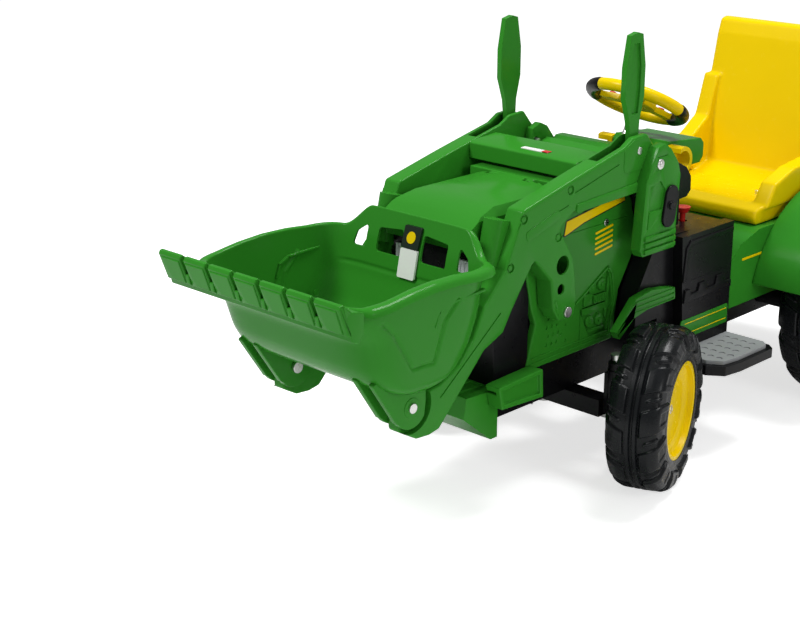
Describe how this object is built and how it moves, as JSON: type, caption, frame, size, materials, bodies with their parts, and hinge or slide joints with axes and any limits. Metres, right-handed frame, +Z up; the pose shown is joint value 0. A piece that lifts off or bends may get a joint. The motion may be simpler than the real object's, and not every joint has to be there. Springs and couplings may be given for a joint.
{
  "type": "ride-on toy front loader",
  "caption": "Child's battery ride-on tractor with a toothed bucket on a lifting two-arm boom, hand levers, steered front wheels, driven rear wheels and a moulded seat.",
  "frame": {"origin": "on the ground, in the middle of the vehicle's length and width", "axes": "+Z up, the bucket faces -Y, +X is the driver's left"},
  "size_m": [0.6602, 1.58, 0.746],
  "materials": {
    "green_plastic": "gloss",
    "black_plastic": "satin",
    "yellow_plastic": "gloss",
    "steel": "zinc plated",
    "tyre_plastic": "satin",
    "grey_plastic": "fine grain",
    "clear_lens": "clear",
    "battery_case": "satin",
    "red_plastic": "gloss"
  },
  "bodies": {
    "vehicle": {"chassis": "black_plastic", "front_bumper": "green_plastic", "bumper_cheeks": "green_plastic", "nose_grille": "black_plastic", "headlights": "clear_lens", "side_panel_left": "green_plastic", "side_panel_right": "green_plastic", "cowl": "green_plastic", "column_housing": "black_plastic", "console": "green_plastic", "dash_trim": "yellow_plastic", "tower_left": "green_plastic", "tower_right": "green_plastic", "lock_plates": "black_plastic", "mid_body": "black_plastic", "side_bars": "green_plastic", "step_plates": "grey_plastic", "footboards": "black_plastic", "rear_body": "green_plastic", "fenders": "green_plastic", "battery": "battery_case", "gear_motors": "black_plastic", "rear_axle": "steel", "front_axle_beam": "black_plastic", "kingpins": "steel", "seat": "yellow_plastic", "tow_hitch": "black_plastic", "body_bolts": "steel"},
    "hood_lid": {"hood": "green_plastic"},
    "boom": {"arm_left_outer": "green_plastic", "arm_left_inner": "green_plastic", "arm_right_outer": "green_plastic", "arm_right_inner": "green_plastic", "cross_tube": "green_plastic", "cylinder_covers": "green_plastic", "arm_bolts": "steel", "lift_lever": "green_plastic"},
    "dump_handle": {"dump_lever": "green_plastic"},
    "rear_link": {"rear_rod": "steel"},
    "crank": {"tilt_crank": "steel"},
    "front_link": {"front_rod": "steel"},
    "scoop": {"bucket": "green_plastic", "cutting_edge": "green_plastic", "bucket_bolts": "steel"},
    "steering": {"steering_wheel": "yellow_plastic", "steering_hub": "black_plastic", "steering_shaft": "steel"},
    "steer_knuckle_left": {"knuckle_left": "black_plastic"},
    "steer_knuckle_right": {"knuckle_right": "black_plastic"},
    "track_link": {"tie_rod": "steel"},
    "front_wheel_left": {"front_tyre_left": "tyre_plastic", "front_rim_left": "yellow_plastic"},
    "front_wheel_right": {"front_tyre_right": "tyre_plastic", "front_rim_right": "yellow_plastic"},
    "rear_wheel_left": {"rear_tyre_left": "tyre_plastic", "rear_rim_left": "yellow_plastic"},
    "rear_wheel_right": {"rear_tyre_right": "tyre_plastic", "rear_rim_right": "yellow_plastic"},
    "drive_pedal": {"pedal": "black_plastic"},
    "shifter": {"gear_lever": "red_plastic"}
  },
  "joints": [
    {"name": "boom_lift", "type": "hinge", "parent": "vehicle", "child": "boom", "pos_m": [0, -0.024, 0.527], "axis": [-1, 0, 0], "range_deg": [0, 35]},
    {"name": "bucket_tilt", "type": "hinge", "parent": "boom", "child": "scoop", "pos_m": [0, -0.599, 0.252], "axis": [1, 0, 0], "range_deg": [0, 60]},
    {"name": "dump_lever_turn", "type": "hinge", "parent": "boom", "child": "dump_handle", "pos_m": [0.133, -0.057, 0.544], "axis": [1, 0, 0], "range_deg": [0, 60]},
    {"name": "rear_rod_turn", "type": "hinge", "parent": "dump_handle", "child": "rear_link", "pos_m": [0.1248, -0.0373, 0.5475], "axis": [1, 0, 0], "range_deg": [-60, 0]},
    {"name": "tilt_crank_turn", "type": "hinge", "parent": "boom", "child": "crank", "pos_m": [0.131, -0.39, 0.392], "axis": [1, 0, 0], "range_deg": [0, 60]},
    {"name": "front_rod_turn", "type": "hinge", "parent": "crank", "child": "front_link", "pos_m": [0.1258, -0.3926, 0.3621], "axis": [1, 0, 0], "range_deg": [-60, 0]},
    {"name": "steer", "type": "hinge", "parent": "vehicle", "child": "steer_knuckle_left", "pos_m": [0.181, -0.132, 0.14], "axis": [0, 0, 1], "range_deg": [-45, 7]},
    {"name": "steer_right", "type": "hinge", "parent": "vehicle", "child": "steer_knuckle_right", "pos_m": [-0.181, -0.132, 0.14], "axis": [0, 0, 1], "range_deg": [-45, 7]},
    {"name": "track_rod_turn", "type": "hinge", "parent": "steer_knuckle_left", "child": "track_link", "pos_m": [0.16147, -0.07527, 0.08], "axis": [0, 0, 1], "range_deg": [-7, 45]},
    {"name": "steering_turn", "type": "hinge", "parent": "vehicle", "child": "steering", "pos_m": [0, -0.108, 0.14], "axis": [0, 0.4848, 0.8746], "range_deg": [-90, 14]},
    {"name": "front_wheel_left_spin", "type": "hinge", "parent": "steer_knuckle_left", "child": "front_wheel_left", "pos_m": [0.181, -0.132, 0.14], "axis": [0.9455, 0.3256, 0], "continuous": true},
    {"name": "front_wheel_right_spin", "type": "hinge", "parent": "steer_knuckle_right", "child": "front_wheel_right", "pos_m": [-0.181, -0.132, 0.14], "axis": [0.9455, 0.3256, 0], "continuous": true},
    {"name": "rear_wheel_left_spin", "type": "hinge", "parent": "vehicle", "child": "rear_wheel_left", "pos_m": [0.26, 0.508, 0.185], "axis": [1, 0, 0], "continuous": true},
    {"name": "rear_wheel_right_spin", "type": "hinge", "parent": "vehicle", "child": "rear_wheel_right", "pos_m": [-0.26, 0.508, 0.185], "axis": [1, 0, 0], "continuous": true},
    {"name": "hood_open", "type": "hinge", "parent": "vehicle", "child": "hood_lid", "pos_m": [0, -0.208, 0.5075], "axis": [-1, 0, 0], "range_deg": [0, 45]},
    {"name": "pedal_press", "type": "hinge", "parent": "vehicle", "child": "drive_pedal", "pos_m": [-0.206, 0.172, 0.184], "axis": [1, 0, 0], "range_deg": [0, 12], "stiffness_Nm_per_rad": 1.5, "springref_deg": -20.05},
    {"name": "gear_shift", "type": "hinge", "parent": "vehicle", "child": "shifter", "pos_m": [0.1, 0.153, 0.378], "axis": [1, 0, 0], "range_deg": [-12, 12]}
  ],
  "couplings": [
    {"joint": "dump_lever_turn", "follows": "bucket_tilt", "ratio": 1},
    {"joint": "rear_rod_turn", "follows": "bucket_tilt", "ratio": -1},
    {"joint": "tilt_crank_turn", "follows": "bucket_tilt", "ratio": 1},
    {"joint": "front_rod_turn", "follows": "bucket_tilt", "ratio": -1},
    {"joint": "steer_right", "follows": "steer", "ratio": 1},
    {"joint": "track_rod_turn", "follows": "steer", "ratio": -1},
    {"joint": "steering_turn", "follows": "steer", "ratio": 2}
  ]
}
